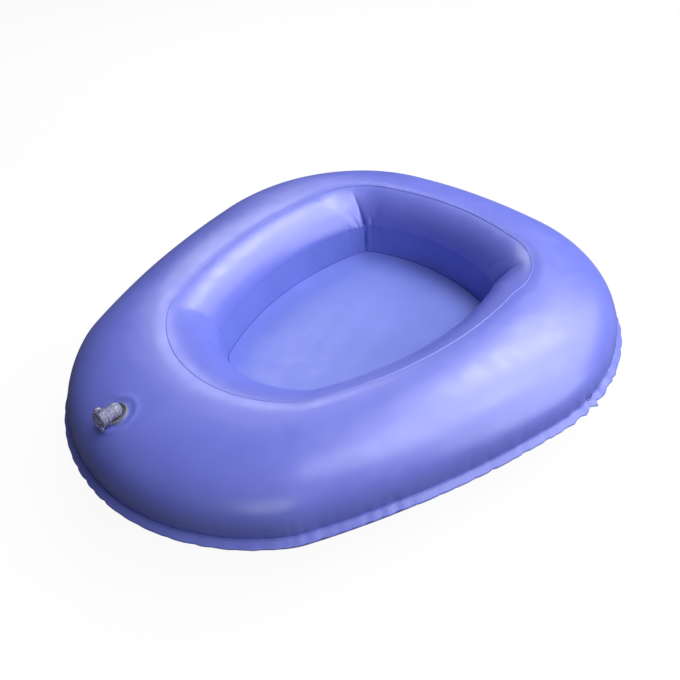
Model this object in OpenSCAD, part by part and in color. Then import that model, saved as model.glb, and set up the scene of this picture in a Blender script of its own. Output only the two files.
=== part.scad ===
// Inflatable bedpan: a soft air ring of welded PVC film around a shallow pan,
// with a mouth valve on the narrow end. Origin: middle of the footprint, on the bed.
// +Y runs from the narrow end to the wide end, +Z is up.

/* [Air ring outline] */
// Length of the ring, narrow end to wide end
ring_len = 400; // [380:1:420]
// Width across the wide corners
ring_w = 368; // [350:1:380]
// Width across the narrow corners
ring_narrow_w = 262; // [250:1:280]
// Radius of a narrow corner
ring_narrow_r = 75; // [65:1:80]
// Radius of a wide corner
ring_wide_r = 143; // [130:1:150]
// Radius of the narrow end
ring_narrow_end_r = 150; // [150:1:300]
// Radius of the wide end
ring_wide_end_r = 512; // [450:1:600]
// Radius of each long side
ring_side_r = 622; // [600:1:800]

/* [Air ring section] */
// Height of the ring
ring_h = 76; // [70:1:84]
// Height of the outer seam, the widest line of the ring's two skins
seam_z = 42; // [38:1:45]
// How far the ring's footprint lies inside the outline
foot_in = 30; // [26:1:34]
// Share of the ring's width that lies inside its crest
crest_share = 0.38; // [0.36:0.01:0.42]
// Fullness of the outer shoulder, 2 for an ellipse
shoulder_power = 2.5; // [2.2:0.05:2.7]
// Fullness of the inner slope, 2 for an ellipse
slope_power = 1.5; // [1.4:0.05:1.8]
// Fullness of the rounded foot, 2 for an ellipse
foot_power = 1.5; // [1.4:0.1:2]
// Share of the ring's width from the waist to the inner edge of the foot
inner_foot_share = 0.26; // [0.2:0.01:0.3]

/* [Pan] */
// Front of the pan, at the narrow end
pan_front_y = -83; // [-88:1:-78]
// Back of the pan, at the wide end
pan_back_y = 124; // [118:1:128]
// Width across the pan's narrow corners
pan_narrow_w = 108; // [104:1:112]
// Width across the pan's wide corners
pan_wide_w = 144; // [138:1:148]
// Radius of a narrow corner of the pan
pan_narrow_r = 12; // [10:1:15]
// Radius of a wide corner of the pan
pan_wide_r = 21; // [18:1:24]
// Radius of the pan's rounded front
pan_front_end_r = 78; // [70:1:90]
// Radius of the pan's back
pan_back_end_r = 160; // [150:1:200]
// Radius of each side of the pan
pan_side_r = 213; // [205:1:230]
// Height of the waist, where the pan hangs from the ring
waist_z = 48; // [46:1:50]
// Height of the pan's floor sheet
floor_z = 23; // [20:1:26]
// How far the pan narrows from the waist to its floor
pan_draft = 2; // [1:0.5:3]

/* [Film and welds] */
// Thickness of the PVC film
film_t = 0.5; // [0.4:0.05:0.6]
// Turn of the inner slope, in degrees above the waist, at which the bead runs
bead_turn = 70; // [66:1:74]
// Width and height of the bead on the crest
bead_w = 2.4; // [2:0.1:3]
bead_t = 1.3; // [1:0.1:1.6]
// Width of the flat weld outside the outer seam
flange_w = 5; // [4:0.5:6]
// Thickness of that weld
flange_t = 1.2; // [1:0.1:1.4]
// How far its free edge hangs below the seam
flange_drop = 2.5; // [1:0.5:4]

/* [Valve] */
// Place of the valve beside the centre line
valve_x = -12; // [-16:1:16]
// Turn of the outer shoulder, in degrees above the seam, at the valve
valve_turn = 58; // [54:1:62]
// Lean of the soft stem away from upright, as it lies after use
stem_lean = 64; // [50:1:66]
// Turn of that lean sideways, away from straight down the slope
stem_swing = 18; // [-30:1:30]
// Outer radius of the stem
stem_r = 5; // [4.8:0.1:5.1]
// Length of the stem from the middle of its ball end to its mouth
stem_len = 10; // [9.5:0.5:14]
// Radius of the stem's air bore
stem_bore_r = 3.2; // [3.1:0.05:3.3]
// Radius of the flange that is welded under the film
valve_flange_r = 12.5; // [11:0.5:14]
// Radius of the plug's head
plug_r = 5.6; // [5.4:0.1:5.8]

/* [Hidden] */
$fn = 64;
film_colour = [0.45, 0.47, 0.86];
weld_colour = [0.6, 0.63, 0.95];
clear_colour = [0.8, 0.84, 0.95, 0.5];

// ---- outlines: each half is five arcs that meet in line, [centre x, centre y, radius, from, to]

function turn_to(from, to) = atan2(to.y - from.y, to.x - from.x);

// the left-hand crossing of two circles
function crossing(p, rp, q, rq) =
    let(d = norm(q - p),
        along = (d * d + rp * rp - rq * rq) / (2 * d),
        aside = sqrt(rp * rp - along * along),
        e = (q - p) / d)
    p + along * e + aside * [-e.y, e.x];

function half_outline(front_y, back_y, narrow_w, narrow_r, wide_w, wide_r, front_r, back_r, side_r) =
    let(nx = narrow_w / 2 - narrow_r,
        wx = wide_w / 2 - wide_r,
        front_c = [0, front_y + front_r],
        back_c = [0, back_y - back_r],
        narrow_c = [nx, front_c.y - sqrt(pow(front_r - narrow_r, 2) - nx * nx)],
        wide_c = [wx, back_c.y + sqrt(pow(back_r - wide_r, 2) - wx * wx)],
        side_c = crossing(narrow_c, side_r - narrow_r, wide_c, side_r - wide_r),
        a1 = turn_to(front_c, narrow_c),
        a2 = turn_to(side_c, narrow_c),
        a3 = turn_to(side_c, wide_c),
        a4 = turn_to(back_c, wide_c))
    [[front_c, front_r, -90, a1], [narrow_c, narrow_r, a1, a2], [side_c, side_r, a2, a3],
     [wide_c, wide_r, a3, a4], [back_c, back_r, a4, 90]];

ring = half_outline(-ring_len / 2, ring_len / 2, ring_narrow_w, ring_narrow_r, ring_w, ring_wide_r,
                    ring_narrow_end_r, ring_wide_end_r, ring_side_r);
pan = half_outline(pan_front_y, pan_back_y, pan_narrow_w, pan_narrow_r, pan_wide_w, pan_wide_r,
                   pan_front_end_r, pan_back_end_r, pan_side_r);

function arc_point(arc, share, out) =
    let(a = arc[2] + (arc[3] - arc[2]) * share)
    arc[0] + (arc[1] + out) * [cos(a), sin(a)];

// stations round the ring, [side, arc, share]: up the right side, then back down the left
arc_steps = [5, 8, 9, 8, 5];
right = [for (a = [0:4]) for (k = [0:arc_steps[a] - 1]) [1, a, k / arc_steps[a]]];
stations = concat(right, [[1, 4, 1]], [for (i = [len(right) - 1:-1:1]) [-1, right[i][1], right[i][2]]]);

// a point of the ring: share 0 on the pan's outline and 1 on the ring's, moved out by out, at height z
function ring_point(st, p) =
    let(q = (1 - p[0]) * arc_point(pan[st[1]], st[2], p[1]) + p[0] * arc_point(ring[st[1]], st[2], p[1]))
    [st[0] * q.x, q.y, p[2]];

// ---- section of the ring, rows of [share, out, height]

inner_foot_start = 0.02;
flange_root = 1;

function power_cos(a, n) = pow(max(cos(a), 0), 2 / n);
function power_sin(a, n) = pow(max(sin(a), 0), 2 / n);

function shoulder(a) = [crest_share + (1 - crest_share) * power_cos(a, shoulder_power),
                        -flange_w * power_cos(a, shoulder_power),
                        seam_z + (ring_h - seam_z) * power_sin(a, shoulder_power)];
function slope(a) = [crest_share * (1 - power_cos(a, slope_power)), 0,
                     waist_z + (ring_h - waist_z) * power_sin(a, slope_power)];
function foot(a) = [1, -flange_w - (foot_in - flange_w) * (1 - power_cos(a, foot_power)),
                    seam_z * (1 - power_sin(a, foot_power))];
function inner_foot(a) = [inner_foot_start + (inner_foot_share - inner_foot_start) * (1 - power_sin(a, 2)), 0,
                          waist_z * (1 - power_cos(a, 2))];

outer_rows = concat([for (a = [0, 5, 11, 18, 26, 35, 46, 58, 73]) shoulder(a)],
                    [[crest_share, 0, ring_h], slope(82), slope(bead_turn)]);
inner_rows = [for (a = [bead_turn, 56, 42, 28, 14, 5, 0]) slope(a)];
base_rows = concat([for (a = [90, 60, 35, 15, 0]) inner_foot(a)], [for (a = [90, 62, 40, 18, 5, 0]) foot(a)]);
wall_rows = [for (k = [0, 0.35, 0.7, 1]) [0, -pan_draft * k, floor_z + (waist_z - floor_z) * (1 - k)]];

function grid(rows) = [for (st = stations) [for (p = rows) ring_point(st, p)]];
function unit(v) = v / norm(v);
function facing(g, i, j) =
    let(n = len(g), m = len(g[0]))
    unit(cross(g[(i + 1) % n][j] - g[(i + n - 1) % n][j], g[i][min(j + 1, m - 1)] - g[i][max(j - 1, 0)]));

// a closed film, film_t thick, behind the surface that the rows sweep round the ring
module film(rows) {
    g = grid(rows);
    n = len(g);
    m = len(rows);
    front = [for (i = [0:n - 1]) for (j = [0:m - 1]) g[i][j]];
    back = [for (i = [0:n - 1]) for (j = [0:m - 1]) g[i][j] - film_t * facing(g, i, j)];
    function at(i, j) = (i % n) * m + j;
    b = n * m;
    polyhedron(concat(front, back), concat(
        [for (i = [0:n - 1]) for (j = [0:m - 2]) each [[at(i, j), at(i, j + 1), at(i + 1, j)],
                                                       [at(i, j + 1), at(i + 1, j + 1), at(i + 1, j)]]],
        [for (i = [0:n - 1]) for (j = [0:m - 2]) each [[b + at(i, j), b + at(i + 1, j), b + at(i, j + 1)],
                                                       [b + at(i, j + 1), b + at(i + 1, j), b + at(i + 1, j + 1)]]],
        [for (i = [0:n - 1]) each [[at(i, 0), at(i + 1, 0), b + at(i, 0)],
                                   [b + at(i, 0), at(i + 1, 0), b + at(i + 1, 0)]]],
        [for (i = [0:n - 1]) each [[at(i, m - 1), b + at(i, m - 1), at(i + 1, m - 1)],
                                   [b + at(i, m - 1), b + at(i + 1, m - 1), at(i + 1, m - 1)]]]));
}

// a welded strip: an eight-sided section, w wide and t thick, swept round the ring about the row p;
// its outer edge hangs drop below its inner edge
module strip(p, w, t, drop = 0) {
    section = [for (k = [0:7]) [w / 2 * cos(45 * k + 22.5), t / 2 * sin(45 * k + 22.5)] / cos(22.5)];
    n = len(stations);
    pts = [for (st = stations) for (q = section) ring_point(st, [p[0], p[1] + q.x, p[2] + q.y - drop * q.x / w])];
    function at(i, j) = (i % n) * 8 + j % 8;
    polyhedron(pts, [for (i = [0:n - 1]) for (j = [0:7]) each [[at(i, j), at(i, j + 1), at(i + 1, j)],
                                                               [at(i, j + 1), at(i + 1, j + 1), at(i + 1, j)]]]);
}

// ---- valve frame: origin on the film, +Z out of it, +X down the slope of the narrow end

valve_share = asin(-valve_x / ring_narrow_end_r) / (ring[0][3] + 90);
valve_at = by_valve(0, 0);
function by_valve(share, turn) = ring_point([-1, 0, valve_share + share], shoulder(valve_turn + turn));
valve_up = unit(cross(by_valve(0.01, 0) - by_valve(-0.01, 0), by_valve(0, -1) - by_valve(0, 1)));
valve_tilt = acos(valve_up.z);
valve_heading = atan2(valve_up.y, valve_up.x);
valve_hole_depth = 6;
pivot_z = 3;
cup_gap = 0.25;
ball_wall = 0.8;
hollow_rise = 2;
collar_r = 7.4;
collar_top = 1;
collar_bevel = 1.2;
collar_seat = 1.6;
flange_edge_t = 0.8;
flange_low = -3.6;
throat_r = 3.4;
tube_low = -8;
tube_wall = 1.2;
ball_cut = 0.72;
mouth_r = 5.4;
nib_len = 4;
mouth_t = 1.4;
band_drop = 4;
band_out = 0.2;
stem_waist = 0.6;
lug_t = 0.8;
lug_root = 0.5;
seat_gap = 0.1;
nib_top_r = 2.9;
nib_tip_r = 2.6;
nib_step = 0.6;
tab_r = 1.8;
tab_out = 1;
tab_t = 0.9;
hinge_out = 7.2;
hinge_down = 1.2;
hinge_eye_r = 0.8;
head_t = 1.6;
strap_w = 3;
strap_root = 0.4;
flap_lap = 0.9;
flap_tab = 0.6;
flap_gap = 0.2;
flap_t = 0.6;
flap_root = 2;

module in_valve_frame() {
    translate(valve_at) rotate([0, valve_tilt, valve_heading]) children();
}

// along the leaning stem: origin at the middle of the ball end, +Z towards the mouth
module in_stem_frame() {
    in_valve_frame() translate([0, 0, pivot_z]) rotate([0, stem_lean, stem_swing]) children();
}

// ---- pieces

module outer_skin() {
    color(film_colour) difference() {
        film(outer_rows);
        in_valve_frame() cylinder(r = collar_r + seat_gap, h = 2 * valve_hole_depth, center = true);
    }
}

module inner_wall() {
    color(film_colour) film(inner_rows);
}

module base_skin() {
    color(film_colour) film(base_rows);
}

module pan_wall() {
    color(film_colour) film(wall_rows);
}

module pan_floor() {
    color(film_colour) translate([0, 0, floor_z - film_t])
        linear_extrude(film_t) polygon([for (st = stations)
            let(q = ring_point(st, [0, -pan_draft - film_t, 0])) [q.x, q.y]]);
}

module outer_weld() {
    w = flange_w + flange_root;
    color(weld_colour) strip([1, -w / 2, seam_z - flange_drop / 2], w, flange_t, flange_drop);
}

module crest_weld() {
    color(weld_colour) strip(slope(bead_turn), bead_w, bead_t);
}

module waist_weld() {
    color(weld_colour) strip([0, 0.2, waist_z], 2, 1.6);
}

module floor_weld() {
    color(weld_colour) strip([0, -pan_draft - film_t, floor_z - film_t / 2], 2, 1.2);
}

// flange, collar and throat of the valve, one clear moulding welded under the film
module valve_flange() {
    color(clear_colour) in_valve_frame() rotate_extrude() difference() {
        union() {
            polygon([[throat_r, flange_low], [collar_r, flange_low], [collar_r, collar_top],
                     [collar_r - collar_bevel, collar_top], [throat_r + collar_seat, 0], [throat_r, 0]]);
            translate([throat_r, flange_low]) square([valve_flange_r - throat_r, flange_edge_t]);
            translate([throat_r, tube_low]) square([tube_wall, flange_low - tube_low + flange_edge_t / 2]);
        }
        translate([0, pivot_z]) circle(r = stem_r + cup_gap);
    }
}

// soft stem: ball end, tube, mouth ring, grip band and the lug that the strap bends against
module valve_stem() {
    ball_cut_z = -stem_r * ball_cut;
    lug_end = hinge_out - hinge_eye_r - seat_gap;
    color(clear_colour) in_stem_frame() union() {
        rotate_extrude() difference() {
            union() {
                intersection() {
                    circle(r = stem_r);
                    translate([0, ball_cut_z]) square([stem_r, 2 * stem_r]);
                }
                square([stem_r - stem_waist, stem_len]);
                translate([0, stem_len - mouth_t]) square([mouth_r, mouth_t]);
                translate([0, stem_len - band_drop]) square([stem_r + band_out, mouth_t]);
            }
            intersection() {
                circle(r = stem_r - ball_wall);
                translate([0, -stem_r]) square([stem_r, stem_r + hollow_rise]);
            }
            square([stem_bore_r, stem_len + 1]);
        }
        translate([-lug_end, -strap_w / 2, stem_len + seat_gap - hinge_down - lug_t / 2])
            cube([lug_end - mouth_r + lug_root, strap_w, lug_t]);
    }
}

module valve_plug() {
    color(clear_colour) in_stem_frame() translate([0, 0, stem_len + seat_gap]) {
        rotate_extrude() {
            square([plug_r, head_t]);
            polygon([[0, seat_gap], [nib_top_r, seat_gap], [nib_top_r, -nib_step],
                     [nib_tip_r, -nib_len], [0, -nib_len]]);
        }
        linear_extrude(tab_t) {
            translate([0, -tab_r]) square([plug_r + tab_out, 2 * tab_r]);
            translate([plug_r + tab_out, 0]) circle(r = tab_r);
        }
    }
}

// living strap from the plug's head to its bend line beside the stem's mouth
module plug_strap() {
    color(clear_colour) in_stem_frame() translate([0, strap_w / 2, stem_len + seat_gap]) rotate([90, 0, 0])
        linear_extrude(strap_w) {
            translate([-hinge_out, -hinge_down]) circle(r = hinge_eye_r);
            translate([-hinge_out - hinge_eye_r, -hinge_down]) square([hinge_eye_r, hinge_down + head_t]);
            translate([-hinge_out - hinge_eye_r, head_t - hinge_eye_r])
                square([hinge_out + hinge_eye_r - plug_r + strap_root, hinge_eye_r]);
        }
}

// thin disc that air pressure closes over the throat's inner end
module check_flap() {
    flap_r = throat_r + flap_lap;
    color(clear_colour) in_valve_frame() translate([0, 0, tube_low - flap_gap - flap_t])
        linear_extrude(flap_t) {
            circle(r = flap_r);
            translate([-flap_r - flap_tab, -strap_w / 2]) square([flap_root, strap_w]);
        }
}

outer_skin();
inner_wall();
base_skin();
pan_wall();
pan_floor();
outer_weld();
crest_weld();
waist_weld();
floor_weld();
valve_flange();
valve_stem();
valve_plug();
plug_strap();
check_flap();
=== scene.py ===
import math
import random

import bmesh
import bpy
import numpy as np
from mathutils import Matrix, Vector


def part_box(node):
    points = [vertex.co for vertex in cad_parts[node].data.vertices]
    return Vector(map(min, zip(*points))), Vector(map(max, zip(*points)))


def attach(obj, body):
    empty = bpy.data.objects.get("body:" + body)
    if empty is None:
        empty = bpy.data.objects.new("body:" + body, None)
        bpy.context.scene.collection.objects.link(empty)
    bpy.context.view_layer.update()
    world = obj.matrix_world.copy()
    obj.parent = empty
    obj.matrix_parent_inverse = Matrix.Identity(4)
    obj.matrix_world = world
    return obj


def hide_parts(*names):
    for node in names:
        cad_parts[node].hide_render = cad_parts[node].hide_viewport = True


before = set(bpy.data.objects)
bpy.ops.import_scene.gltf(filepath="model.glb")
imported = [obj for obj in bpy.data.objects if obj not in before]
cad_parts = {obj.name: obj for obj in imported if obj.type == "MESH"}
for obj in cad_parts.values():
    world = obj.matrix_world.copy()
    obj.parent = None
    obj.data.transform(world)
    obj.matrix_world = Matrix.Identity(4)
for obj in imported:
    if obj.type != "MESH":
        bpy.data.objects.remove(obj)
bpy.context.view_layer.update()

mm = 0.001


def boxSpan(node):
    # lowest and highest corner of a CAD node, in millimetres
    low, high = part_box(node)
    return np.array(low) / mm, np.array(high) / mm


# ---- outlines, in millimetres: each half is five arcs that meet in line

edgeLow, edgeHigh = boxSpan("outer_weld")
skinLow, skinHigh = boxSpan("outer_skin")
wallLow, wallHigh = boxSpan("pan_wall")

ringOutline = {
    "front": edgeLow[1], "back": edgeHigh[1],
    "narrowWidth": 262, "narrowRadius": 75,
    "wideWidth": edgeHigh[0] - edgeLow[0], "wideRadius": 143,
    "frontRadius": 150, "backRadius": 512, "sideRadius": 622,
}

panOutline = {
    "front": wallLow[1], "back": wallHigh[1],
    "narrowWidth": 108, "narrowRadius": 12,
    "wideWidth": 144, "wideRadius": 21,
    "frontRadius": 78, "backRadius": 160, "sideRadius": 213,
}


def turnTo(start, end):
    return math.atan2(end[1] - start[1], end[0] - start[0])


def crossing(p, pRadius, q, qRadius):
    # the left-hand crossing of two circles
    gap = math.dist(p, q)
    along = (gap * gap + pRadius * pRadius - qRadius * qRadius) / (2 * gap)
    aside = math.sqrt(pRadius * pRadius - along * along)
    ex, ey = (q[0] - p[0]) / gap, (q[1] - p[1]) / gap
    return p[0] + along * ex - aside * ey, p[1] + along * ey + aside * ex


def halfOutline(o):
    # rows of centre x, centre y, radius, first turn, last turn
    nx = o["narrowWidth"] / 2 - o["narrowRadius"]
    wx = o["wideWidth"] / 2 - o["wideRadius"]
    frontY = o["front"] + o["frontRadius"]
    backY = o["back"] - o["backRadius"]
    narrow = (nx, frontY - math.sqrt((o["frontRadius"] - o["narrowRadius"]) ** 2 - nx * nx))
    wide = (wx, backY + math.sqrt((o["backRadius"] - o["wideRadius"]) ** 2 - wx * wx))
    side = crossing(narrow, o["sideRadius"] - o["narrowRadius"], wide, o["sideRadius"] - o["wideRadius"])
    a1 = turnTo((0, frontY), narrow)
    a2 = turnTo(side, narrow)
    a3 = turnTo(side, wide)
    a4 = turnTo((0, backY), wide)
    return np.array([
        (0, frontY, o["frontRadius"], -math.pi / 2, a1),
        (*narrow, o["narrowRadius"], a1, a2),
        (*side, o["sideRadius"], a2, a3),
        (*wide, o["wideRadius"], a3, a4),
        (0, backY, o["backRadius"], a4, math.pi / 2),
    ])


ringArcs = halfOutline(ringOutline)
panArcs = halfOutline(panOutline)

# stations round the ring: side, arc and share of the arc, close together at the valve and the corners
stationPlan = {"valveShare": 0.2, "valveSteps": 30, "steps": (30, 44, 84, 64, 26)}


def makeStations(plan):
    right = []
    for arc, steps in enumerate(plan["steps"]):
        if arc == 0:
            near = [plan["valveShare"] * k / plan["valveSteps"] for k in range(plan["valveSteps"])]
            far = [plan["valveShare"] + (1 - plan["valveShare"]) * k / steps for k in range(steps)]
            right += [(1, 0, share) for share in near + far]
        else:
            right += [(1, arc, k / steps) for k in range(steps)]
    left = [(-1, arc, share) for _, arc, share in right[:0:-1]]
    return np.array(right + [(1, 4, 1.0)] + left)


stations = makeStations(stationPlan)
stationSide = stations[:, 0]
stationArc = stations[:, 1].astype(int)
stationShare = stations[:, 2]


def outlinePoints(arcs, out=0.0):
    cx, cy, radius, first, last = arcs[stationArc].T
    turn = first + (last - first) * stationShare
    x = stationSide * (cx + (radius + out) * np.cos(turn))
    return np.stack([x, cy + (radius + out) * np.sin(turn)], 1)


def outlineOutward(arcs):
    _, _, _, first, last = arcs[stationArc].T
    turn = first + (last - first) * stationShare
    return np.stack([stationSide * np.cos(turn), np.sin(turn)], 1)


def outlineLength(arcs):
    # distance round the outline to each station, and the whole way round
    points = outlinePoints(arcs)
    steps = np.linalg.norm(np.roll(points, -1, axis=0) - points, axis=1)
    return np.concatenate([[0], np.cumsum(steps)[:-1]]), steps.sum()


ringPlace, ringRound = outlineLength(ringArcs)
panPlace, panRound = outlineLength(panArcs)
ringOutward = outlineOutward(ringArcs)
panOutward = outlineOutward(panArcs)


def placeAt(places, side, arc, share):
    # the distance round at the station nearest to a share of one arc
    misses = np.abs(stationShare - share) + 9 * (stationArc != arc) + 9 * (stationSide != side)
    return places[int(np.argmin(misses))]


def around(places, centre, whole):
    # signed distance from centre, the short way round
    return (places - centre + whole / 2) % whole - whole / 2


# ---- section of the ring: share 0 on the pan's outline and 1 on the ring's, out and height in millimetres

ringSection = {
    "height": skinHigh[2], "seam": skinLow[2], "flangeWidth": 5, "footIn": 30, "crestShare": 0.38,
    "shoulderPower": 2.35, "slopeStart": math.radians(35), "footPower": 1.5, "waist": wallHigh[2],
    "beadTurn": math.radians(79), "innerFootShare": 0.26, "innerFootStart": 0.02,
}


def powerCos(turn, power):
    return np.maximum(np.cos(turn), 0) ** (2 / power)


def powerSin(turn, power):
    return np.maximum(np.sin(turn), 0) ** (2 / power)


def shoulder(turn):
    s = ringSection
    lie = powerCos(turn, s["shoulderPower"])
    return np.stack([s["crestShare"] + (1 - s["crestShare"]) * lie, -s["flangeWidth"] * lie,
                     s["seam"] + (s["height"] - s["seam"]) * powerSin(turn, s["shoulderPower"])], -1)


def slope(turn):
    # part of an ellipse, from the crest down to where it meets the waist at a slant
    s = ringSection
    start = s["slopeStart"]
    rise = (np.sin(turn) - math.sin(start)) / (1 - math.sin(start))
    return np.stack([s["crestShare"] * (1 - np.cos(turn) / math.cos(start)), 0 * turn,
                     s["waist"] + (s["height"] - s["waist"]) * rise], -1)


def foot(turn):
    s = ringSection
    edge, lie = s["flangeWidth"], s["footIn"]
    return np.stack([1 + 0 * turn, -edge - (lie - edge) * (1 - powerCos(turn, s["footPower"])),
                     s["seam"] * (1 - powerSin(turn, s["footPower"]))], -1)


def innerFoot(turn):
    s = ringSection
    start, end = s["innerFootStart"], s["innerFootShare"]
    share = start + (end - start) * (1 - np.sin(turn))
    return np.stack([share, 0 * turn, s["waist"] * (1 - np.cos(turn))], -1)


def evenRows(pieces, spacing, typicalWidth=105):
    # joins stretches of the section and spaces the rows along it; spacing gives the step at a distance along
    fine = np.concatenate(pieces)
    flat = np.stack([fine[:, 0] * typicalWidth + fine[:, 1], fine[:, 2]], 1)
    steps = np.linalg.norm(np.diff(flat, axis=0), axis=1)
    along = np.concatenate([[0], np.cumsum(steps)])
    keep = np.concatenate([[True], steps > 1e-9])
    along, fine = along[keep], fine[keep]
    marks = [0.0]
    while marks[-1] < along[-1]:
        marks.append(marks[-1] + spacing(marks[-1]))
    marks = np.array(marks) * along[-1] / marks[-1]
    return np.stack([np.interp(marks, along, fine[:, k]) for k in range(3)], 1)


def ringPoints(rows):
    # stations by rows of points, in millimetres
    grid = []
    for share, out, height in rows:
        flat = (1 - share) * outlinePoints(panArcs, out) + share * outlinePoints(ringArcs, out)
        grid.append(np.column_stack([flat, np.full(len(flat), height)]))
    return np.stack(grid, 1)


def facing(grid):
    along = np.roll(grid, -1, axis=0) - np.roll(grid, 1, axis=0)
    across = np.gradient(grid, axis=1)
    n = np.cross(along, across)
    return n / np.linalg.norm(n, axis=2, keepdims=True)


def rowDistance(grid):
    steps = np.linalg.norm(np.diff(grid, axis=1), axis=2)
    return np.concatenate([np.zeros((len(grid), 1)), np.cumsum(steps, axis=1)], 1)


# ---- meshes

crispAngle = math.radians(50)


def keepShape(obj):
    # applies the modifiers, so that a plain mesh is left
    depsgraph = bpy.context.evaluated_depsgraph_get()
    made = bpy.data.meshes.new_from_object(obj.evaluated_get(depsgraph))
    obj.modifiers.clear()
    obj.data = made
    return obj


def newPiece(name, points, faces, material, scale=mm):
    mesh = bpy.data.meshes.new(name)
    mesh.from_pydata((np.asarray(points) * scale).tolist(), [], faces)
    mesh.update()
    mesh.polygons.foreach_set("use_smooth", np.ones(len(mesh.polygons), bool))
    obj = bpy.data.objects.new(name, mesh)
    bpy.context.scene.collection.objects.link(obj)
    mesh.materials.append(material)
    return obj


def gridFaces(n, m):
    # quads of a grid that closes on itself along its first side
    faces = []
    for i in range(n):
        k = (i + 1) % n
        for j in range(m - 1):
            faces.append((i * m + j, k * m + j, k * m + j + 1, i * m + j + 1))
    return faces


def thicken(obj, thickness):
    # gives the film its thickness and keeps the cut edges crisp, so that two films meet without a shaded step
    solid = obj.modifiers.new("film", "SOLIDIFY")
    solid.thickness = thickness
    solid.offset = -1
    keepShape(obj)
    bm = bmesh.new()
    bm.from_mesh(obj.data)
    for edge in bm.edges:
        edge.smooth = edge.calc_face_angle(0) < crispAngle
    bm.to_mesh(obj.data)
    bm.free()
    return obj


def place(obj, body, slot, *nodes):
    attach(obj, body)
    if nodes:
        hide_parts(*nodes)
    return obj


# ---- materials

def link(tree, start, end):
    tree.links.new(start, end)


def addNode(tree, kind, **settings):
    node = tree.nodes.new(kind)
    for name, value in settings.items():
        setattr(node, name, value)
    return node


def filmSurfaceGroup():
    # soft mottle, calender grain and uneven gloss of plasticised film
    tree = bpy.data.node_groups.new("filmSurface", "ShaderNodeTree")
    face = tree.interface
    for name, kind, value in (
        ("Vector", "NodeSocketVector", None),
        ("Deep Color", "NodeSocketColor", (0.1, 0.12, 0.6, 1)),
        ("Pale Color", "NodeSocketColor", (0.2, 0.24, 0.8, 1)),
        ("Mottle Scale", "NodeSocketFloat", 22.0),
        ("Grain Scale", "NodeSocketFloat", 700.0),
        ("Grain Depth", "NodeSocketFloat", 0.00002),
        ("Ripple Scale", "NodeSocketFloat", 60.0),
        ("Ripple Depth", "NodeSocketFloat", 0.0003),
        ("Low Roughness", "NodeSocketFloat", 0.3),
        ("High Roughness", "NodeSocketFloat", 0.45),
    ):
        socket = face.new_socket(name, in_out="INPUT", socket_type=kind)
        if value is not None:
            socket.default_value = value
    for name, kind in (
        ("Color", "NodeSocketColor"), ("Roughness", "NodeSocketFloat"), ("Normal", "NodeSocketVector"),
    ):
        face.new_socket(name, in_out="OUTPUT", socket_type=kind)
    inside = addNode(tree, "NodeGroupInput")
    outside = addNode(tree, "NodeGroupOutput")

    mottle = addNode(tree, "ShaderNodeTexNoise")
    mottle.inputs["Detail"].default_value = 4
    link(tree, inside.outputs["Vector"], mottle.inputs["Vector"])
    link(tree, inside.outputs["Mottle Scale"], mottle.inputs["Scale"])
    spread = addNode(tree, "ShaderNodeMapRange")
    spread.inputs["From Min"].default_value = 0.3
    spread.inputs["From Max"].default_value = 0.7
    link(tree, mottle.outputs["Fac"], spread.inputs["Value"])
    tint = addNode(tree, "ShaderNodeMix", data_type="RGBA")
    link(tree, spread.outputs["Result"], tint.inputs["Factor"])
    link(tree, inside.outputs["Deep Color"], tint.inputs["A"])
    link(tree, inside.outputs["Pale Color"], tint.inputs["B"])
    link(tree, tint.outputs["Result"], outside.inputs["Color"])

    cloud = addNode(tree, "ShaderNodeTexNoise")
    cloud.inputs["Detail"].default_value = 6
    cloud.inputs["Scale"].default_value = 95
    link(tree, inside.outputs["Vector"], cloud.inputs["Vector"])
    gloss = addNode(tree, "ShaderNodeMapRange")
    gloss.inputs["From Min"].default_value = 0.3
    gloss.inputs["From Max"].default_value = 0.7
    link(tree, cloud.outputs["Fac"], gloss.inputs["Value"])
    link(tree, inside.outputs["Low Roughness"], gloss.inputs["To Min"])
    link(tree, inside.outputs["High Roughness"], gloss.inputs["To Max"])
    link(tree, gloss.outputs["Result"], outside.inputs["Roughness"])

    grain = addNode(tree, "ShaderNodeTexNoise")
    grain.inputs["Detail"].default_value = 2
    link(tree, inside.outputs["Vector"], grain.inputs["Vector"])
    link(tree, inside.outputs["Grain Scale"], grain.inputs["Scale"])
    ripple = addNode(tree, "ShaderNodeTexNoise")
    ripple.inputs["Detail"].default_value = 1
    link(tree, inside.outputs["Vector"], ripple.inputs["Vector"])
    link(tree, inside.outputs["Ripple Scale"], ripple.inputs["Scale"])
    broad = addNode(tree, "ShaderNodeBump")
    link(tree, inside.outputs["Ripple Depth"], broad.inputs["Distance"])
    link(tree, ripple.outputs["Fac"], broad.inputs["Height"])
    fine = addNode(tree, "ShaderNodeBump")
    link(tree, inside.outputs["Grain Depth"], fine.inputs["Distance"])
    link(tree, grain.outputs["Fac"], fine.inputs["Height"])
    link(tree, broad.outputs["Normal"], fine.inputs["Normal"])
    link(tree, fine.outputs["Normal"], outside.inputs["Normal"])
    return tree


filmSurface = filmSurfaceGroup()

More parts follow.
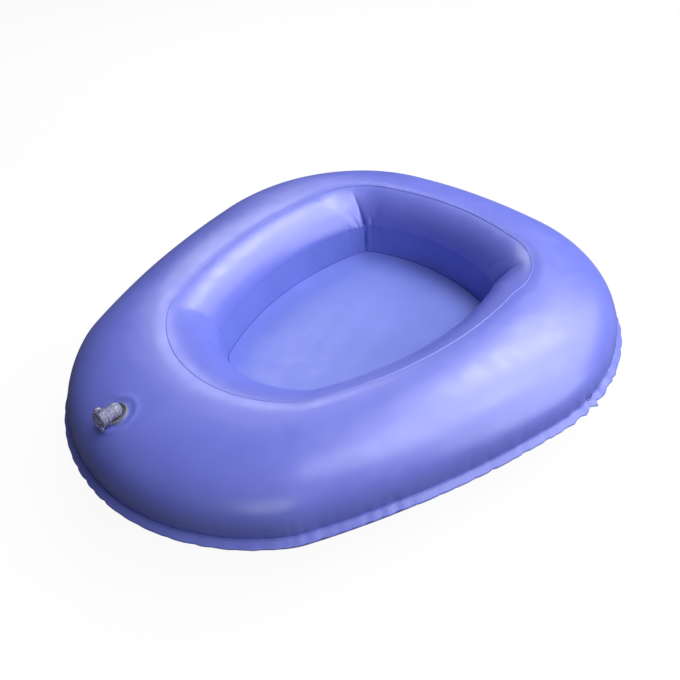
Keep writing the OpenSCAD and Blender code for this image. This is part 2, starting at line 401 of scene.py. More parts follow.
ringFilmLook = {
    "deep": (0.125, 0.15, 0.57), "pale": (0.145, 0.172, 0.62), "grainDepth": 0.000012, "rippleDepth": 0.0002,
    "roughness": (0.3, 0.4), "specular": 0.5, "ior": 1.66,
}
panFilmLook = {
    "deep": (0.125, 0.165, 0.56), "pale": (0.145, 0.19, 0.62), "grainDepth": 0.000012, "rippleDepth": 0.0002,
    "roughness": (0.34, 0.46), "specular": 0.5, "ior": 1.55,
}
# painted shade: a dark film for the weld strips at the waist and at the floor's edge, standing in for the
# shade in those creases
paintedCreaseShadeLook = {
    "deep": (0.04, 0.045, 0.3), "pale": (0.05, 0.055, 0.34), "grainDepth": 0.000012, "rippleDepth": 0.0002,
    "roughness": (0.4, 0.5), "specular": 0.3, "ior": 1.5,
}
weldLook = {
    "deep": (0.125, 0.15, 0.56), "pale": (0.16, 0.19, 0.62), "grainDepth": 0.00003, "rippleDepth": 0.0001,
    "roughness": (0.28, 0.4), "specular": 0.5, "ior": 1.58,
}
clearLook = {
    "deep": (0.50, 0.52, 0.72), "pale": (0.62, 0.64, 0.82), "grainDepth": 0.00002, "rippleDepth": 0.0003,
    "roughness": (0.12, 0.3), "specular": 0.5, "ior": 1.4,
}


def filmMaterial(name, look):
    material = bpy.data.materials.new(name)
    material.use_nodes = True
    tree = material.node_tree
    shader = tree.nodes["Principled BSDF"]
    coordinates = addNode(tree, "ShaderNodeTexCoord")
    surface = addNode(tree, "ShaderNodeGroup", node_tree=filmSurface)
    link(tree, coordinates.outputs["Object"], surface.inputs["Vector"])
    surface.inputs["Deep Color"].default_value = (*look["deep"], 1)
    surface.inputs["Pale Color"].default_value = (*look["pale"], 1)
    surface.inputs["Grain Depth"].default_value = look["grainDepth"]
    surface.inputs["Ripple Depth"].default_value = look["rippleDepth"]
    surface.inputs["Low Roughness"].default_value = look["roughness"][0]
    surface.inputs["High Roughness"].default_value = look["roughness"][1]
    link(tree, surface.outputs["Color"], shader.inputs["Base Color"])
    link(tree, surface.outputs["Roughness"], shader.inputs["Roughness"])
    link(tree, surface.outputs["Normal"], shader.inputs["Normal"])
    shader.inputs["Specular IOR Level"].default_value = look["specular"]
    shader.inputs["IOR"].default_value = look["ior"]
    return material


ringFilm = filmMaterial("ringFilm", ringFilmLook)
panFilm = filmMaterial("panFilm", panFilmLook)
paintedCreaseShade = filmMaterial("paintedCreaseShade", paintedCreaseShadeLook)
weldFilm = filmMaterial("weldFilm", weldLook)
clearMoulding = filmMaterial("clearMoulding", clearLook)
clearMoulding.node_tree.nodes["Principled BSDF"].inputs["Transmission Weight"].default_value = 0.75
print("materials: film, pan film, weld and clear moulding")

# ---- valve frame: origin on the film, +Z out of it, +X down the slope of the narrow end

valveAt = {
    "x": -12, "turn": math.radians(58), "lean": math.radians(64), "swing": math.radians(18), "pivot": 3,
}


def valveMatrix():
    share = math.asin(-valveAt["x"] / ringArcs[0][2]) / (ringArcs[0][4] + math.pi / 2)

    def film(dShare, dTurn):
        across, out, height = shoulder(np.array(valveAt["turn"] + dTurn))
        ends = []
        for arcs in (panArcs, ringArcs):
            cx, cy, radius, first, last = arcs[0]
            turn = first + (last - first) * (share + dShare)
            reach = radius + out
            ends.append(np.array([-(cx + reach * math.cos(turn)), cy + reach * math.sin(turn)]))
        flat = (1 - across) * ends[0] + across * ends[1]
        return np.array([*flat, height])

    step = math.radians(1)
    up = np.cross(film(0.01, 0) - film(-0.01, 0), film(0, -step) - film(0, step))
    up /= np.linalg.norm(up)
    tilt = Matrix.Rotation(math.acos(up[2]), 4, "Y")
    heading = Matrix.Rotation(math.atan2(up[1], up[0]), 4, "Z")
    return Matrix.Translation(film(0, 0)) @ heading @ tilt


inValve = valveMatrix()
inStem = (inValve @ Matrix.Translation((0, 0, valveAt["pivot"])) @ Matrix.Rotation(valveAt["swing"], 4, "Z")
          @ Matrix.Rotation(valveAt["lean"], 4, "Y"))
print("valve at", [round(v, 2) for v in inValve.translation])


def fromValve(grid):
    # distance from the valve's axis
    back = np.array(inValve.inverted())
    local = grid @ back[:3, :3].T + back[:3, 3]
    return np.hypot(local[..., 0], local[..., 1])


# ---- gathers along the outer weld, where flat sheets take the curve of the ring

gathers = {
    "seed": 11, "step": (7, 17), "depth": (0.15, 0.6), "width": (1.4, 3.0), "reach": (5, 12),
    "cornerDepth": 1.5, "cornerLift": 1.0, "cornerWave": 11.5, "cornerSpread": 26, "cornerReach": 8,
}


def gatherList():
    pick = random.Random(gathers["seed"])
    found, s = [], 0.0
    while s < ringRound:
        found.append((s, pick.uniform(*gathers["depth"]), pick.uniform(*gathers["width"]),
                      pick.uniform(*gathers["reach"]), pick.uniform(-0.35, 0.35)))
        s += pick.uniform(*gathers["step"])
    return found


cornerPlaces = {
    "wideRight": placeAt(ringPlace, 1, 3, 0.14), "wideLeft": placeAt(ringPlace, -1, 3, 0.3),
    "narrowRight": placeAt(ringPlace, 1, 1, 0.5), "narrowLeft": placeAt(ringPlace, -1, 1, 0.5),
}
cornerStrength = {"wideRight": 1.0, "wideLeft": 0.8, "narrowRight": 0.12, "narrowLeft": 0.12}


def seamDrift(distance):
    # how gathers move the film beside the weld: out and up, for stations by distances from the weld
    place = ringPlace[:, None]
    out = np.zeros_like(distance)
    up = np.zeros_like(distance)
    for s, depth, width, reach, lean in gatherList():
        off = around(place, s, ringRound) + lean * distance
        out -= depth * np.exp(-(off / width) ** 2) * np.exp(-(distance / reach) ** 2)
    pick = random.Random(gathers["seed"] + 1)
    for corner, centre in cornerPlaces.items():
        off = around(place, centre, ringRound)
        gate = cornerStrength[corner] * np.exp(-(off / gathers["cornerSpread"]) ** 2)
        fade = np.exp(-(distance / gathers["cornerReach"]) ** 2)
        wave, lift = 0, 0
        for harmonic in (1.0, 1.37, 1.9):
            phase = pick.uniform(0, 6.28)
            turn = 2 * math.pi * off * harmonic / gathers["cornerWave"] + phase
            wave = wave + np.sin(turn) / harmonic
            lift = lift + np.sin(turn * 0.61 + 2.1 * phase) / harmonic
        out += gathers["cornerDepth"] * 0.5 * gate * fade * wave
        up += gathers["cornerLift"] * 0.5 * gate * fade * lift
    return out, up


def drift(grid, distance):
    out, up = seamDrift(distance)
    grid = grid.copy()
    grid[..., :2] += ringOutward[:, None, :] * out[..., None]
    grid[..., 2] += up
    return grid


def slowWaves(place, whole, distance, size, seed):
    # a few long shallow waves, so that the film isn't a perfect formula
    pick = random.Random(seed)
    total = np.zeros_like(distance)
    for turns in (3, 5, 8, 13):
        a, b = pick.uniform(0, 6.28), pick.uniform(0, 6.28)
        total += np.sin(2 * math.pi * turns * place[:, None] / whole + a) * np.sin(distance / 17 + b) / turns
    return size * total


# ---- outer skin: shoulder of the ring, from the outer weld to the bead on the crest

outerSkinLook = {
    "thickness": 0.5, "finest": 0.9, "coarsest": 1.75, "waves": 0.4, "groove": 0.5, "grooveWidth": 1.1,
    "ridge": 0.6, "ridgeRadius": 12.3, "ridgeWidth": 1.5, "dip": 0.55, "dipRadius": 9.3, "dipWidth": 1.4,
    "hole": 7.3, "holeReach": 8, "edgeReach": 3, "fineStretch": 14, "wavesSeed": 5,
}


def outerSkinRows():
    o = outerSkinLook

    def spacing(mark):
        return o["coarsest"] if mark > o["fineStretch"] else o["finest"]

    return evenRows([
        shoulder(np.linspace(0, math.pi / 2, 900)),
        slope(np.linspace(math.pi / 2, ringSection["beadTurn"], 90)),
    ], spacing)


def buildOuterSkin():
    o = outerSkinLook
    grid = ringPoints(outerSkinRows())
    distance = rowDistance(grid)
    fromCrest = distance[:, -1:] - distance
    radius = fromValve(grid)
    bump = slowWaves(ringPlace, ringRound, distance, o["waves"], o["wavesSeed"])
    bump *= np.minimum(distance / 20, 1)
    bump *= np.minimum(fromCrest / 15, 1)
    bump += o["ridge"] * np.exp(-((radius - o["ridgeRadius"]) / o["ridgeWidth"]) ** 2)
    bump -= o["dip"] * np.exp(-((radius - o["dipRadius"]) / o["dipWidth"]) ** 2)
    bump -= o["groove"] * np.exp(-(distance / o["grooveWidth"]) ** 2)
    grid = grid + facing(grid) * bump[..., None]
    grid = drift(grid, distance)
    n, m, _ = grid.shape
    obj = newPiece("outerSkin", grid.reshape(-1, 3), gridFaces(n, m), ringFilm)
    cutValveHole(obj, o)
    return thicken(obj, o["thickness"] * mm)


def cutValveHole(obj, o):
    # opens the film under the collar and rounds the edge that is left
    hole, reach = o["hole"], o["holeReach"]
    back = inValve.inverted()
    bm = bmesh.new()
    bm.from_mesh(obj.data)

    def local(v):
        return back @ (v.co / mm)

    inside = [v for v in bm.verts if math.hypot(local(v).x, local(v).y) < hole and abs(local(v).z) < reach]
    bmesh.ops.delete(bm, geom=inside, context="VERTS")
    for v in bm.verts:
        p = local(v)
        radius = math.hypot(p.x, p.y)
        if v.is_boundary and radius < hole + o["edgeReach"] and abs(p.z) < reach:
            p.x *= hole / radius
            p.y *= hole / radius
            v.co = (inValve @ p) * mm
    bm.to_mesh(obj.data)
    bm.free()


outerSkin = place(buildOuterSkin(), "ring", "ring_film", "outer_skin")
print("outer skin:", len(outerSkin.data.polygons), "faces")

# ---- inner wall: from the bead down to the waist, folded at the pan's corners

innerWallLook = {
    "thickness": 0.5, "finest": 0.6, "coarsest": 1.3, "coarseStretch": 34, "bulge": 1.5,
    "wideFold": 4.4, "narrowFold": 1.0, "foldReach": {"wideFold": 36, "narrowFold": 20}, "foldCore": 0.9,
    "foldWidth": 2.6, "foldWiden": 0.12,
    "creaseSeed": 7, "creases": 6, "creaseDepth": (0.2, 0.5), "creaseWidth": (0.8, 1.5),
    "creaseReach": (7, 16),
}

foldPlaces = [
    (placeAt(panPlace, side, arc, 0.5), "wideFold" if arc == 3 else "narrowFold") for side, arc in
    ((1, 1), (1, 3), (-1, 3), (-1, 1))
]


def foldDepth(above):
    # how far the corner folds draw the film back, for stations by distances above the waist
    o = innerWallLook
    total = np.zeros_like(above)
    width = o["foldWidth"] + o["foldWiden"] * above
    for centre, size in foldPlaces:
        fade = np.clip(1 - above / o["foldReach"][size], 0, 1) ** 1.2
        off = np.abs(around(panPlace[:, None], centre, panRound))
        total += o[size] * fade * (0.6 * np.exp(-off / width) + 0.4 * np.exp(-off / o["foldCore"]))
    return total


def wallBulge(above, height):
    # the film swells between the wide corners' folds, most of all just above the waist
    total = np.zeros_like(above)
    marks = sorted(centre for centre, size in foldPlaces if size == "wideFold")
    rise = np.clip(above / height, 0, 1)
    for start, end in zip(marks, marks[1:] + [marks[0] + panRound]):
        share = ((panPlace - start) % panRound) / (end - start)
        inside = (share > 0) & (share < 1)
        swell = np.where(inside, np.sin(math.pi * np.clip(share, 0, 1)) ** 0.4, 0)
        total += swell[:, None] * 4 * rise ** 0.7 * (1 - rise) ** 2
    return innerWallLook["bulge"] * total


def smallCreases(above):
    o = innerWallLook
    pick = random.Random(o["creaseSeed"])
    total = np.zeros_like(above)
    for centre, size in foldPlaces:
        for _ in range(o["creases"]):
            start = centre + pick.choice((-1, 1)) * pick.uniform(4, 20)
            lean = pick.uniform(-0.5, 0.5)
            depth, width = pick.uniform(*o["creaseDepth"]), pick.uniform(*o["creaseWidth"])
            reach = pick.uniform(*o["creaseReach"])
            off = around(panPlace[:, None], start, panRound) + lean * above
            total += depth * np.exp(-(off / width) ** 2) * np.exp(-(above / reach) ** 2)
    return total


def buildInnerWall():
    o = innerWallLook

    def spacing(mark):
        return o["coarsest"] if mark < o["coarseStretch"] else o["finest"]

    fine = slope(np.linspace(ringSection["beadTurn"], ringSection["slopeStart"], 500))
    grid = ringPoints(evenRows([fine], spacing))
    distance = rowDistance(grid)
    above = distance[:, -1:] - distance
    bump = wallBulge(above, distance[:, -1:]) - foldDepth(above) - smallCreases(above)
    grid = grid + facing(grid) * bump[..., None]
    n, m, _ = grid.shape
    obj = newPiece("innerWall", grid.reshape(-1, 3), gridFaces(n, m), ringFilm)
    return thicken(obj, o["thickness"] * mm), grid[:, -1]


innerWall, waistLine = buildInnerWall()
place(innerWall, "ring", "ring_film", "inner_wall")
print("inner wall:", len(innerWall.data.polygons), "faces")

# ---- pan: a single film wall that hangs from the waist, and its floor sheet

panLook = {
    "thickness": 0.5, "draft": 2, "rows": 22, "floorFold": 2.0, "sag": 1.0, "floorRows": 30,
    "wallWaves": 0.35, "wallSeed": 3, "floorWaves": 0.14, "floorSeed": 8,
}


def buildPanWall():
    o = panLook
    floorHeight = wallLow[2]
    down = np.linspace(0, 1, o["rows"])[None, :]
    draft = o["draft"] * down
    bottom = outlinePoints(panArcs, -o["draft"])
    fold = foldDepth(np.zeros((len(stations), 1)))
    bottom = bottom + panOutward * fold * o["floorFold"] / innerWallLook["wideFold"]
    top = waistLine[:, :2]
    grid = np.empty((len(stations), o["rows"], 3))
    grid[..., :2] = top[:, None] * (1 - down[..., None]) + bottom[:, None] * down[..., None]
    grid[..., 2] = waistLine[:, 2:] * (1 - down) + floorHeight * down
    wave = np.zeros(len(stations))
    pick = random.Random(o["wallSeed"])
    for turns in (9, 14, 23):
        wave += np.sin(2 * math.pi * turns * panPlace / panRound + pick.uniform(0, 6.28)) / 3
    push = o["wallWaves"] * wave[:, None] * np.sin(math.pi * down)
    grid[..., :2] -= panOutward[:, None] * push[..., None]
    n, m, _ = grid.shape
    obj = newPiece("panWall", grid.reshape(-1, 3), gridFaces(n, m), panFilm)
    return thicken(obj, o["thickness"] * mm), grid[:, -1]


panWall, floorLine = buildPanWall()
place(panWall, "ring", "pan_film", "pan_wall")


def buildPanFloor():
    # rings of the floor's outline drawn in to one middle point
    o = panLook
    middle = np.array([0.0, (floorLine[:, 1].min() + floorLine[:, 1].max()) / 2])
    shares = 1 - np.arange(o["floorRows"]) / o["floorRows"]
    n = len(floorLine)
    points, faces = [], []
    pick = random.Random(o["floorSeed"])
    swells = [(pick.uniform(18, 46), pick.uniform(0, 6.28), pick.uniform(0, 3.14)) for _ in range(5)]
    for share in shares:
        flat = middle + (floorLine[:, :2] - middle) * share
        sag = o["sag"] * (1 - share ** 2)
        wave = sum(np.sin((flat[:, 0] * math.cos(t) + flat[:, 1] * math.sin(t)) * 2 * math.pi / w + p)
                   for w, p, t in swells)
        height = floorLine[:, 2] - sag + o["floorWaves"] * 0.35 * wave * (1 - share ** 4)
        points.append(np.column_stack([flat, height]))
    points = np.concatenate(points)
    for k in range(o["floorRows"] - 1):
        for i in range(n):
            j = (i + 1) % n
            faces.append((k * n + i, k * n + j, (k + 1) * n + j, (k + 1) * n + i))
    last = (o["floorRows"] - 1) * n
    points = np.vstack([points, [*middle, floorLine[:, 2].mean() - o["sag"]]])
    faces += [(last + i, last + (i + 1) % n, len(points) - 1) for i in range(n)]
    obj = newPiece("panFloor", points, faces, panFilm)
    return thicken(obj, o["thickness"] * mm)


panFloor = place(buildPanFloor(), "ring", "pan_film", "pan_floor")
print("pan: wall", len(panWall.data.polygons), "and floor", len(panFloor.data.polygons), "faces")

# ---- base skin: from the outer weld under the ring and up behind the pan's wall

baseLook = {"thickness": 0.5, "coarsest": 2.5, "finest": 1.3, "fineStretch": 30}


def buildBaseSkin():
    o = baseLook

    def spacing(mark):
        return o["finest"] if mark < o["fineStretch"] else o["coarsest"]

    rows = evenRows([
        foot(np.linspace(0, math.pi / 2, 300)), innerFoot(np.linspace(0, math.pi / 2, 200)),
    ], spacing)
    grid = ringPoints(rows)
    grid = drift(grid, rowDistance(grid))[:, ::-1]
    grid[..., 2] = np.maximum(grid[..., 2], 0)
    n, m, _ = grid.shape
    obj = newPiece("baseSkin", grid.reshape(-1, 3), gridFaces(n, m), ringFilm)
    return thicken(obj, o["thickness"] * mm)


baseSkin = place(buildBaseSkin(), "ring", "ring_film", "base_skin")
print("base skin:", len(baseSkin.data.polygons), "faces")

# ---- welds: one geometry tree sweeps a rounded strip along each weld line


def weldTree():
    tree = bpy.data.node_groups.new("weldStrip", "GeometryNodeTree")
    face = tree.interface
    face.new_socket("Geometry", in_out="INPUT", socket_type="NodeSocketGeometry")
    for name, value in (("Width", 0.002), ("Height", 0.001), ("Step", 0.002)):
        face.new_socket(name, in_out="INPUT", socket_type="NodeSocketFloat").default_value = value
    face.new_socket("Sides", in_out="INPUT", socket_type="NodeSocketInt").default_value = 10
    face.new_socket("Material", in_out="INPUT", socket_type="NodeSocketMaterial")
    face.new_socket("Geometry", in_out="OUTPUT", socket_type="NodeSocketGeometry")
    inside, outside = addNode(tree, "NodeGroupInput"), addNode(tree, "NodeGroupOutput")
    path = addNode(tree, "GeometryNodeMeshToCurve")
    even = addNode(tree, "GeometryNodeResampleCurve", mode="LENGTH")
    upright = addNode(tree, "GeometryNodeSetCurveNormal", mode="Z_UP")
    section = addNode(tree, "GeometryNodeCurvePrimitiveCircle")
    section.inputs["Radius"].default_value = 0.5
    size = addNode(tree, "ShaderNodeCombineXYZ")
    flatten = addNode(tree, "GeometryNodeTransform")
    sweep = addNode(tree, "GeometryNodeCurveToMesh")
    smooth = addNode(tree, "GeometryNodeSetShadeSmooth")
    real = addNode(tree, "GeometryNodeRealizeInstances")
    dress = addNode(tree, "GeometryNodeSetMaterial")
    link(tree, inside.outputs["Geometry"], path.inputs["Mesh"])
    link(tree, path.outputs["Curve"], even.inputs["Curve"])
    link(tree, inside.outputs["Step"], even.inputs["Length"])
    link(tree, even.outputs["Curve"], upright.inputs["Curve"])
    link(tree, inside.outputs["Sides"], section.inputs["Resolution"])
    link(tree, inside.outputs["Width"], size.inputs["X"])
    link(tree, inside.outputs["Height"], size.inputs["Y"])
    size.inputs["Z"].default_value = 1
    link(tree, section.outputs["Curve"], flatten.inputs["Geometry"])
    link(tree, size.outputs["Vector"], flatten.inputs["Scale"])
    link(tree, upright.outputs["Curve"], sweep.inputs["Curve"])
    link(tree, flatten.outputs["Geometry"], sweep.inputs["Profile Curve"])
    link(tree, sweep.outputs["Mesh"], smooth.inputs["Geometry"])
    link(tree, smooth.outputs["Geometry"], real.inputs["Geometry"])
    link(tree, real.outputs["Geometry"], dress.inputs["Geometry"])
    link(tree, inside.outputs["Material"], dress.inputs["Material"])
    link(tree, dress.outputs["Geometry"], outside.inputs["Geometry"])
    return tree


weldStrip = weldTree()


def sweepWeld(name, points, width, height, step, material, sides=10):
    n = len(points)
    mesh = bpy.data.meshes.new(name)
    mesh.from_pydata((np.asarray(points) * mm).tolist(), [(i, (i + 1) % n) for i in range(n)], [])
    obj = bpy.data.objects.new(name, mesh)
    bpy.context.scene.collection.objects.link(obj)
    modifier = obj.modifiers.new("weld", "NODES")
    modifier.node_group = weldStrip
    values = {"Width": width * mm, "Height": height * mm, "Step": step * mm,
              "Sides": sides, "Material": material}
    for item in weldStrip.interface.items_tree:
        if item.in_out == "INPUT" and item.name in values:
            modifier[item.identifier] = values[item.name]
    keepShape(obj)
    mesh = obj.data
    mesh.materials.clear()
    mesh.materials.append(material)
    bm = bmesh.new()
    bm.from_mesh(mesh)
    bmesh.ops.remove_doubles(bm, verts=bm.verts, dist=1e-7)
    bmesh.ops.recalc_face_normals(bm, faces=bm.faces)
    bm.to_mesh(mesh)
    bm.free()
    return obj


crestWeldLook = {"width": 1.0, "height": 0.5, "step": 2.0, "proud": 0.05}
waistWeldLook = {"width": 0.8, "height": 0.8, "step": 1.0, "behind": 0.45}
floorWeldLook = {"width": 1.1, "height": 0.7, "step": 1.0}
flangeLook = {
    "thickness": 0.7, "inner": -6, "outer": -0.4, "rows": 9, "droop": 3.4, "flare": 1.5,
    "beadWidth": 0.9, "beadHeight": 0.7, "beadRow": 2, "beadStep": 1.5, "beadSides": 8,
}


def crestLine():
    o = crestWeldLook
    rows = slope(np.array([ringSection["beadTurn"]]))
    line = ringPoints(rows)[:, 0]
    line[:, 2] += o["proud"]
    return line


crestWeld = sweepWeld("crestWeld", crestLine(), crestWeldLook["width"], crestWeldLook["height"],
                      crestWeldLook["step"], weldFilm)
place(crestWeld, "ring", "weld", "crest_weld")

# the waist weld strip sits just behind the waist line in the dark film, as painted shade under the overhang
waistBack = waistLine.copy()
waistBack[:, :2] += panOutward * waistWeldLook["behind"]
waistWeld = sweepWeld("waistWeld", waistBack, waistWeldLook["width"], waistWeldLook["height"],
                      waistWeldLook["step"], paintedCreaseShade)
place(waistWeld, "ring", "weld", "waist_weld")

# the floor weld strip is also in the dark film, as painted shade in the corner where the pan wall meets its
# floor
floorWeld = sweepWeld("floorWeld", floorLine, floorWeldLook["width"], floorWeldLook["height"],
                      floorWeldLook["step"], paintedCreaseShade)
place(floorWeld, "ring", "weld", "floor_weld")


def flangeGrid():
    # the flat weld that stands out from the seam, its free edge more ruffled than its root
    o = flangeLook
    outs = np.linspace(o["inner"], o["outer"], o["rows"])
    grid = np.empty((len(stations), o["rows"], 3))
    across = (outs - o["inner"]) / (o["outer"] - o["inner"])
    out0, up0 = seamDrift(np.zeros((len(stations), 1)))
    for k, out in enumerate(outs):
        flat = outlinePoints(ringArcs, out)
        grow = 1 + (o["flare"] - 1) * across[k]
        grid[:, k, :2] = flat + ringOutward * out0 * grow
        grid[:, k, 2] = ringSection["seam"] - o["droop"] * across[k] + up0[:, 0] * grow
    return grid


def buildFlange():
    o = flangeLook
    grid = flangeGrid()
    low = grid.copy()
    low[..., 2] -= o["thickness"] / 2
    high = grid.copy()
    high[..., 2] += o["thickness"] / 2
    loop = np.concatenate([high, low[:, ::-1]], 1)
    n, m, _ = loop.shape
    faces = []
    for i in range(n):
        k = (i + 1) % n
        for j in range(m):
            faces.append((i * m + j, i * m + (j + 1) % m, k * m + (j + 1) % m, k * m + j))
    obj = newPiece("outerWeld", loop.reshape(-1, 3), faces, weldFilm)
    return obj, grid


outerWeld, weldGrid = buildFlange()
place(outerWeld, "ring", "weld", "outer_weld")
weldLine = weldGrid[:, flangeLook["beadRow"]] + np.array([0, 0, flangeLook["thickness"] / 2])
outerBead = sweepWeld("outerBead", weldLine, flangeLook["beadWidth"], flangeLook["beadHeight"],
                      flangeLook["beadStep"], weldFilm, flangeLook["beadSides"])
place(outerBead, "ring", "weld")
print("welds: crest, waist, floor, flange and its bead")

# ---- valve: clear parts turned about their own axes

moulding = {
    "sides": 72,
    "flange": ((3.4, -8), (4.6, -8), (4.6, -3.6), (12.3, -3.6), (12.5, -3.4), (12.5, -3.0), (12.3, -2.8),
               (7.4, -2.6), (7.4, 0.7), (7.1, 1.0), (6.4, 1.0), (6.1, 0.85), (5.2, 0.1), (4.9, 0.0),
               (4.31, 0.0), (3.8, -0.6), (3.4, -1.0)),
    "ballRadius": 5, "hollowRadius": 4.2, "ballCut": -3.6,
    "tube": ((4.4, 2.4), (4.4, 5.7), (4.95, 6.0), (5.2, 6.3), (5.2, 7.1), (4.95, 7.4), (4.4, 7.7), (4.4, 8.3),
             (5.15, 8.6), (5.4, 8.9), (5.4, 9.7), (5.15, 10), (3.5, 10), (3.2, 9.75), (3.2, 2.72)),
    "plug": ((0, -4), (2.3, -4), (2.6, -3.7), (2.9, -0.6), (2.95, 0), (5.3, 0), (5.6, 0.3), (5.6, 1.25),
             (5.25, 1.6), (3.4, 1.6), (3.0, 1.3), (0, 1.3)),
    "plugSeat": 10.1, "tab": (5.2, 6.6, 1.8, 0.9),
    "lug": ((-6.3, 8.5), (-4.9, 8.5), (-4.9, 9.3), (-6.3, 9.3)),
    "strap": ((-8.0, -1.6), (-7.4, -2.0), (-6.8, -1.9), (-6.5, -1.4), (-6.6, -0.8), (-7.1, -0.4), (-7.1, 0.5),
              (-6.8, 0.8), (-5.3, 0.8), (-5.3, 1.5), (-7.2, 1.55), (-7.8, 1.2), (-8.0, 0.6)),
    "strapWidth": 3, "flap": ((0, -8.8), (4.2, -8.8), (4.3, -8.7), (4.3, -8.3), (4.2, -8.2), (0, -8.2)),
}


def arcPoints(radius, start, end, steps):
    turns = np.linspace(start, end, steps)
    return [(radius * math.cos(t), radius * math.sin(t)) for t in turns]


def turned(profile, sides):
    # a closed profile of radius and height turned about its axis
    profile = [tuple(p) for p in profile]
    points, rings = [], []
    for radius, height in profile:
        if radius < 1e-6:
            rings.append([len(points)] * sides)
            points.append((0, 0, height))
        else:
            rings.append(list(range(len(points), len(points) + sides)))
            turns = [2 * math.pi * k / sides for k in range(sides)]
            points += [(radius * math.cos(t), radius * math.sin(t), height) for t in turns]
    faces = []
    onAxis = profile[0][0] < 1e-6
    for a in range(len(profile) - (1 if onAxis else 0)):
        low, high = rings[a], rings[(a + 1) % len(profile)]
        for k in range(sides):
            j = (k + 1) % sides
            corners = [low[k], low[j], high[j], high[k]]
            faces.append(tuple(dict.fromkeys(corners)))
    return points, faces


def extruded(outline, low, high, upright=False):
    # a flat outline given a thickness, along Z or, for one drawn upright, along Y
    n = len(outline)
    if upright:
        points = [(x, low, z) for x, z in outline] + [(x, high, z) for x, z in outline]
    else:
        points = [(x, y, low) for x, y in outline] + [(x, y, high) for x, y in outline]
    faces = [tuple(range(n))[::-1], tuple(range(n, 2 * n))]
    faces += [(k, (k + 1) % n, n + (k + 1) % n, n + k) for k in range(n)]
    return points, faces


def mould(name, matrix, *shells):
    # one clear piece made of closed shells, its normals turned outward
    points, faces = [], []
    for shellPoints, shellFaces in shells:
        start = len(points)
        points += [matrix @ Vector(p) for p in shellPoints]
        faces += [tuple(start + v for v in face) for face in shellFaces]
    obj = newPiece(name, points, faces, clearMoulding)
    bm = bmesh.new()
    bm.from_mesh(obj.data)
    bmesh.ops.recalc_face_normals(bm, faces=bm.faces)
    bm.to_mesh(obj.data)
    bm.free()
    return obj


def stemProfile():
    o = moulding
    cut = math.asin(o["ballCut"] / o["ballRadius"])
    hollowCut = math.asin(o["ballCut"] / o["hollowRadius"])
    outer = arcPoints(o["ballRadius"], cut, math.acos(4.4 / o["ballRadius"]), 14)
    inner = arcPoints(o["hollowRadius"], math.acos(3.2 / o["hollowRadius"]), hollowCut, 12)
    return outer + list(o["tube"]) + inner[1:]


def tabOutline():
    start, end, radius, _ = moulding["tab"]
    turns = np.linspace(-math.pi / 2, math.pi / 2, 15)
    roundEnd = [(end + radius * math.cos(t), radius * math.sin(t)) for t in turns]
    return [(start, -radius)] + roundEnd + [(start, radius)]


sides = moulding["sides"]
halfStrap = moulding["strapWidth"] / 2
onPlug = inStem @ Matrix.Translation((0, 0, moulding["plugSeat"]))
stemLug = extruded(moulding["lug"], -halfStrap, halfStrap, True)
pullTab = extruded(tabOutline(), 0, moulding["tab"][3])
strapBand = extruded(moulding["strap"], -halfStrap, halfStrap, True)

valveFlange = mould("valveFlange", inValve, turned(moulding["flange"], sides))
place(valveFlange, "ring", "clear_moulding", "valve_flange")
valveStem = mould("valveStem", inStem, turned(stemProfile(), sides), stemLug)
place(valveStem, "stem", "clear_moulding", "valve_stem")
valvePlug = mould("valvePlug", onPlug, turned(moulding["plug"], sides), pullTab)
place(valvePlug, "plug", "clear_moulding", "valve_plug")
plugStrap = mould("plugStrap", onPlug, strapBand)
place(plugStrap, "plug", "clear_moulding", "plug_strap")
checkFlap = mould("checkFlap", inValve, turned(moulding["flap"], sides))
place(checkFlap, "flap", "clear_moulding", "check_flap")
print("valve: flange, stem, plug, strap and flap")

# ---- floor, light and camera

floorLook = {"size": 14.0, "white": 1.0, "bounce": 0.1, "shadowShare": 0.06}


def buildFloor():
    # a white sheet that shows only a trace of shadow and throws little light back
    o = floorLook
    half = o["size"] / 2
    material = bpy.data.materials.new("paleFloor")
    material.use_nodes = True
    tree = material.node_tree
    tree.nodes.remove(tree.nodes["Principled BSDF"])
    glow = addNode(tree, "ShaderNodeEmission")
    glow.inputs["Strength"].default_value = o["white"]
    lit = addNode(tree, "ShaderNodeBsdfDiffuse")
    lit.inputs["Color"].default_value = (0.9, 0.9, 0.9, 1)
    seen = addNode(tree, "ShaderNodeMixShader")
    seen.inputs["Fac"].default_value = o["shadowShare"]
    link(tree, glow.outputs["Emission"], seen.inputs[1])
    link(tree, lit.outputs["BSDF"], seen.inputs[2])
    dim = addNode(tree, "ShaderNodeBsdfDiffuse")
    dim.inputs["Color"].default_value = (o["bounce"], o["bounce"], o["bounce"], 1)
    path = addNode(tree, "ShaderNodeLightPath")
    choose = addNode(tree, "ShaderNodeMixShader")
    link(tree, path.outputs["Is Camera Ray"], choose.inputs["Fac"])
    link(tree, dim.outputs["BSDF"], choose.inputs[1])
    link(tree, seen.outputs["Shader"], choose.inputs[2])
    link(tree, choose.outputs["Shader"], tree.nodes["Material Output"].inputs["Surface"])
    corners = [(-half, -half, 0), (half, -half, 0), (half, half, 0), (-half, half, 0)]
    obj = newPiece("floor", corners, [(0, 1, 2, 3)], material, 1.0)
    return obj


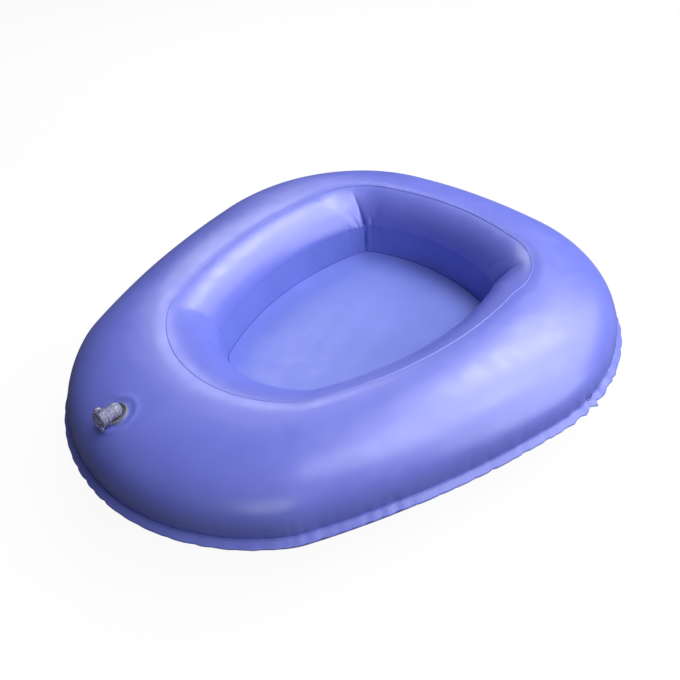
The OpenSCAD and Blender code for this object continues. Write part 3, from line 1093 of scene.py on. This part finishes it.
studioLights = (
    {"name": "backHigh", "azimuth": 180, "elevation": 54, "distance": 1.3, "size": 0.5, "power": 7.1},
    {"name": "backKey", "azimuth": 150, "elevation": 40, "distance": 1.3, "size": 0.8, "power": 7.0},
    {"name": "rightLow", "azimuth": 112, "elevation": 24, "distance": 1.3, "size": 0.8, "power": 7.5},
    {"name": "rightHigh", "azimuth": 115, "elevation": 64, "distance": 1.3, "size": 0.8, "power": 9.5},
    {"name": "backLeft", "azimuth": 240, "elevation": 38, "distance": 1.3, "size": 0.5, "power": 3.6},
    {"name": "frontFill", "azimuth": 40, "elevation": 30, "distance": 1.3, "size": 0.5, "power": 2.4},
)


def buildLights():
    for look in studioLights:
        lamp = bpy.data.lights.new(look["name"], "AREA")
        lamp.shape = "SQUARE"
        lamp.size = look["size"]
        lamp.energy = look["power"]
        obj = bpy.data.objects.new(look["name"], lamp)
        a, e = math.radians(look["azimuth"]), math.radians(look["elevation"])
        toward = Vector((math.sin(a) * math.cos(e), -math.cos(a) * math.cos(e), math.sin(e)))
        obj.location = toward * look["distance"]
        obj.rotation_mode = "QUATERNION"
        obj.rotation_quaternion = toward.to_track_quat("Z", "Y")
        bpy.context.scene.collection.objects.link(obj)
    world = bpy.data.worlds.new("studio")
    world.use_nodes = True
    world.node_tree.nodes["Background"].inputs["Strength"].default_value = 0.0
    bpy.context.scene.world = world
    bpy.context.scene.view_settings.view_transform = "Standard"


cameraLook = {
    "azimuth": 48.19, "elevation": 40.98, "roll": -5.02, "distance": 0.4731, "lens": 33.89,
    "aimHeight": 0.05, "aside": 0.00715, "drop": 0.01929,
}


def buildCamera():
    look = cameraLook
    a, e, r = (math.radians(look[k]) for k in ("azimuth", "elevation", "roll"))
    back = Vector((math.sin(a) * math.cos(e), -math.cos(a) * math.cos(e), math.sin(e)))
    right = Vector((math.cos(a), math.sin(a), 0))
    up = back.cross(right)
    rolledRight = math.cos(r) * right + math.sin(r) * up
    rolledUp = math.cos(r) * up - math.sin(r) * right
    camera = bpy.data.objects.new("camera", bpy.data.cameras.new("camera"))
    camera.data.lens = look["lens"]
    camera.data.clip_start = 0.01
    facingBack = Matrix((rolledRight, rolledUp, back)).transposed().to_4x4()
    aim = Vector((0, 0, look["aimHeight"]))
    spot = aim + back * look["distance"] + rolledRight * look["aside"] - rolledUp * look["drop"]
    camera.matrix_world = Matrix.Translation(spot) @ facingBack
    bpy.context.scene.collection.objects.link(camera)
    bpy.context.scene.camera = camera


buildFloor()
buildLights()
buildCamera()
print("stage: floor, lights and camera")
